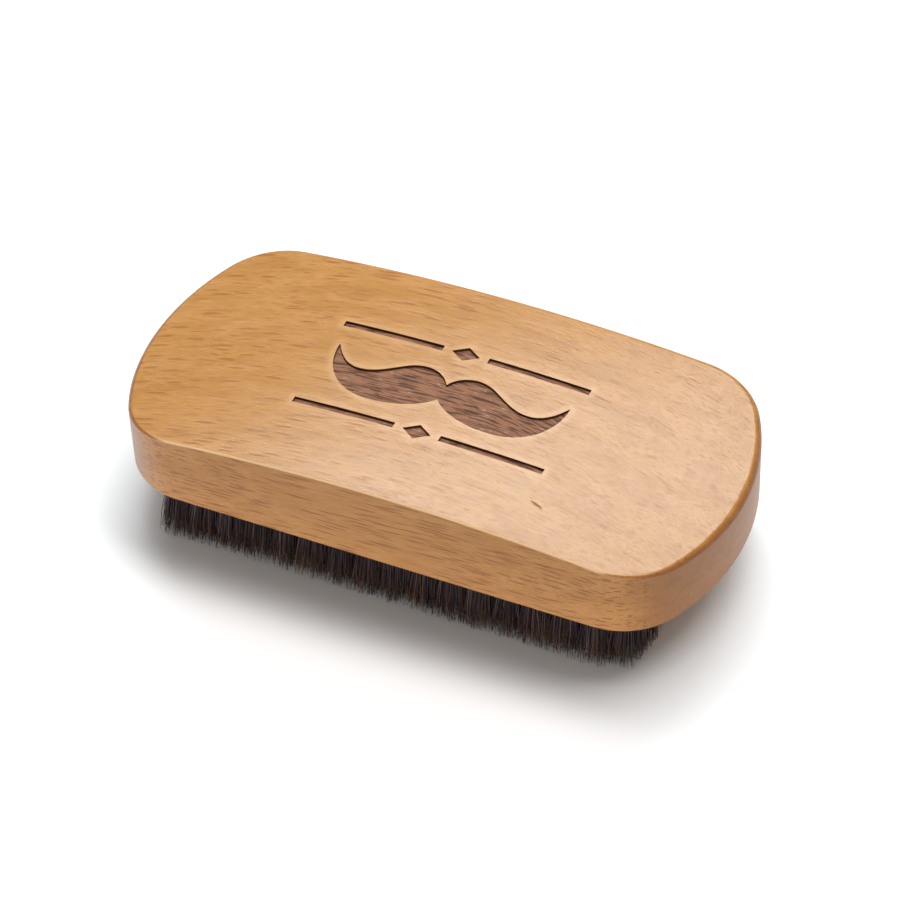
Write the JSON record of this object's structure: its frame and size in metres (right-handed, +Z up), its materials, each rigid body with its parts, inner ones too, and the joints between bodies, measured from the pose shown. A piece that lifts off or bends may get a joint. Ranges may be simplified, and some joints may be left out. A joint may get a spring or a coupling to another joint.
{
  "type": "beard brush",
  "caption": "Palm-held beard brush: a crowned beech block with bowed ends and rows of dark bristle tufts set in its flat underside.",
  "frame": {"origin": "on the surface that the bristle tips rest on, under the middle of the brush", "axes": "+X along the handle, +Y across it, +Z up from the bristle tips to the crowned top"},
  "size_m": [0.11, 0.053, 0.029],
  "materials": {
    "beech": "sanded and lacquered, satin",
    "bristle": "natural dark hair with paler brown tips",
    "anchor_wire": "drawn flat wire"
  },
  "bodies": {
    "root": {"handle": "beech", "tuft_row_01": "bristle", "tuft_row_02": "bristle", "tuft_row_03": "bristle", "tuft_row_04": "bristle", "tuft_row_05": "bristle", "tuft_row_06": "bristle", "tuft_row_07": "bristle", "tuft_row_08": "bristle", "tuft_row_09": "bristle", "tuft_row_10": "bristle", "tuft_row_11": "bristle", "tuft_row_12": "bristle", "tuft_row_13": "bristle", "tuft_row_14": "bristle", "tuft_row_15": "bristle", "tuft_row_16": "bristle", "tuft_row_17": "bristle", "anchor_row_01": "anchor_wire", "anchor_row_02": "anchor_wire", "anchor_row_03": "anchor_wire", "anchor_row_04": "anchor_wire", "anchor_row_05": "anchor_wire", "anchor_row_06": "anchor_wire", "anchor_row_07": "anchor_wire", "anchor_row_08": "anchor_wire", "anchor_row_09": "anchor_wire", "anchor_row_10": "anchor_wire", "anchor_row_11": "anchor_wire", "anchor_row_12": "anchor_wire", "anchor_row_13": "anchor_wire", "anchor_row_14": "anchor_wire", "anchor_row_15": "anchor_wire", "anchor_row_16": "anchor_wire", "anchor_row_17": "anchor_wire"}
  },
  "joints": []
}
